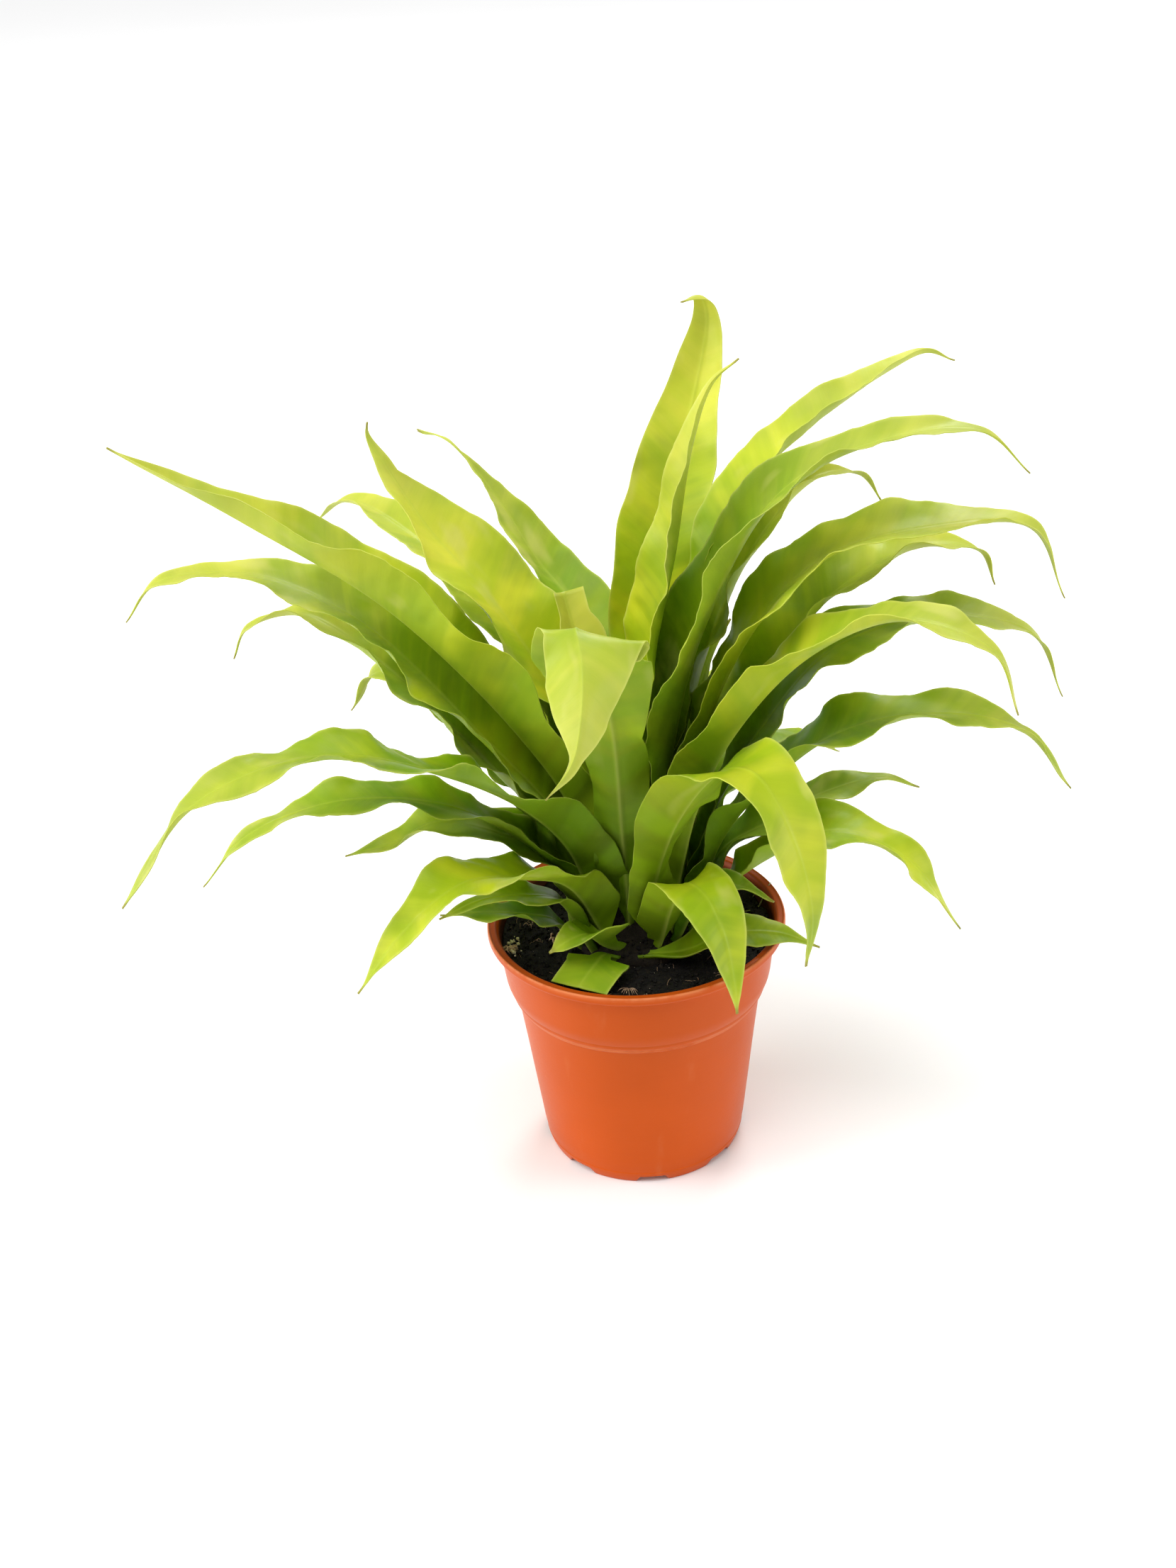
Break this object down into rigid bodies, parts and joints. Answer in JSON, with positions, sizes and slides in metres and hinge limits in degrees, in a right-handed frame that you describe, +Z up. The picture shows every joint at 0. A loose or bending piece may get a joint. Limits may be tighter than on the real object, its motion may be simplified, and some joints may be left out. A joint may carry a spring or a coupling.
{
  "type": "potted japanese birds nest fern",
  "caption": "Potted fern with long wavy strap fronds that arch out from a low crown, growing in dark peat in a tapered round plastic nursery pot with a rolled rim.",
  "frame": {"origin": "centre of the pot's underside, on the plane that it stands on", "axes": "+Z up; -Y is the front, the side that faces the viewer; +X is to the viewer's right"},
  "size_m": [0.5331, 0.3701, 0.5051],
  "materials": {
    "pot": "satin terracotta-coloured moulded plastic",
    "peat": "damp dark peat",
    "crown": "rough fibrous rhizome",
    "frond_bright": "glossy young yellow-green blade",
    "frond_lime": "glossy lime-green blade",
    "frond_green": "glossy green blade",
    "frond_deep": "glossy dark green blade"
  },
  "bodies": {
    "root": {"pot": "pot", "soil": "peat", "crown": "crown", "frond_left_1": "frond_lime", "frond_left_2": "frond_lime", "frond_left_3": "frond_lime", "frond_left_4": "frond_green", "frond_left_5": "frond_green", "frond_left_6": "frond_green", "frond_left_7": "frond_green", "frond_left_8": "frond_lime", "frond_left_9": "frond_green", "frond_left_10": "frond_deep", "frond_back_left_1": "frond_bright", "frond_back_left_2": "frond_green", "frond_back_left_3": "frond_lime", "frond_centre_1": "frond_bright", "frond_centre_2": "frond_lime", "frond_centre_3": "frond_bright", "frond_centre_4": "frond_bright", "frond_right_1": "frond_lime", "frond_right_2": "frond_green", "frond_right_3": "frond_lime", "frond_right_4": "frond_lime", "frond_right_5": "frond_lime", "frond_right_6": "frond_green", "frond_right_7": "frond_lime", "frond_right_8": "frond_green", "frond_right_9": "frond_green", "frond_right_10": "frond_lime", "frond_right_11": "frond_deep", "frond_right_12": "frond_green", "frond_right_13": "frond_deep", "frond_front_1": "frond_lime", "frond_front_2": "frond_lime", "frond_front_3": "frond_green", "frond_front_4": "frond_lime", "frond_back_1": "frond_green", "frond_back_2": "frond_lime", "frond_back_3": "frond_green", "frond_back_4": "frond_lime", "frond_back_5": "frond_green", "frond_back_6": "frond_lime"}
  },
  "joints": []
}
